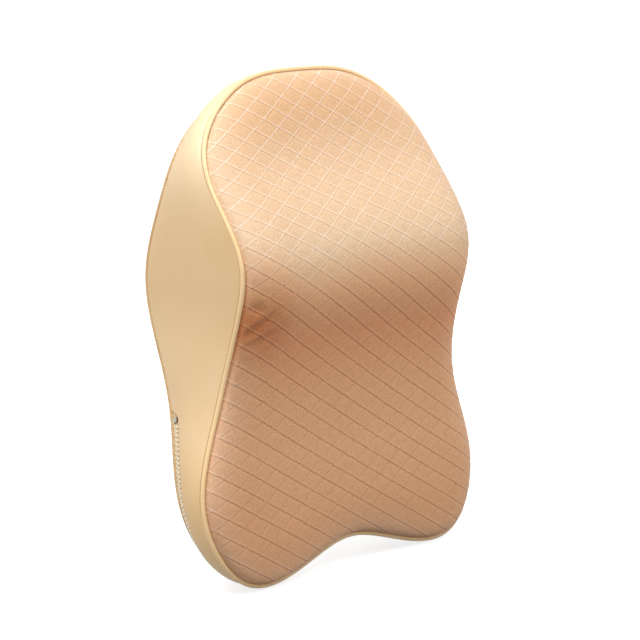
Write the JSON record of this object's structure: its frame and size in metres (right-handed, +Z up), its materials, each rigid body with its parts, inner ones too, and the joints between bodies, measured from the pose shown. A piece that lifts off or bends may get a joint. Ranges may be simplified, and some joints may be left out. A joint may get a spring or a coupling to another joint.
{
  "type": "car neck pillow",
  "caption": "Butterfly-shaped memory-foam neck pillow in a zipped cover, with a piped front, a smooth side band and an elastic strap with a side-release buckle.",
  "frame": {"origin": "on the flat zone in the middle of the back panel, below the strap, where the pillow bears on the seat or head restraint", "axes": "+Z up along the pillow's height, front panel towards -Y, +Y out of the back, +X to the right of someone who looks at the front"},
  "size_m": [0.2468, 0.1116, 0.303],
  "materials": {
    "memory_foam": "open-cell memory foam",
    "diamond_knit": "fine ribbed knit with a diamond grid of double threads",
    "beige_leatherette": "smooth satin leatherette",
    "beige_backing": "plain woven backing cloth",
    "beige_piping": "satin leatherette over cord",
    "nylon_teeth": "moulded beige zip teeth",
    "zip_tape": "woven zip tape",
    "zip_metal": "nickel-plated zinc",
    "elastic_webbing": "woven elastic webbing",
    "black_plastic": "moulded acetal"
  },
  "bodies": {
    "pillow": {"foam_core": "memory_foam", "front_panel": "diamond_knit", "side_band": "beige_leatherette", "back_panel": "beige_backing", "front_piping": "beige_piping", "zip_chain": "nylon_teeth", "zip_front_tape": "zip_tape", "zip_rear_tape": "zip_tape", "zip_slider": "zip_metal", "zip_end_stop": "zip_metal", "strap_left": "elastic_webbing", "strap_right": "elastic_webbing", "buckle_socket": "black_plastic", "buckle_plug": "black_plastic"},
    "pull_tab": {"zip_pull_tab": "zip_metal"}
  },
  "joints": [
    {"name": "zip_tab_hinge", "type": "hinge", "parent": "pillow", "child": "pull_tab", "pos_m": [0.10989, -0.04064, -0.0654], "axis": [0.2203, -0.8594, 0.4614], "range_deg": [0, 150]}
  ]
}
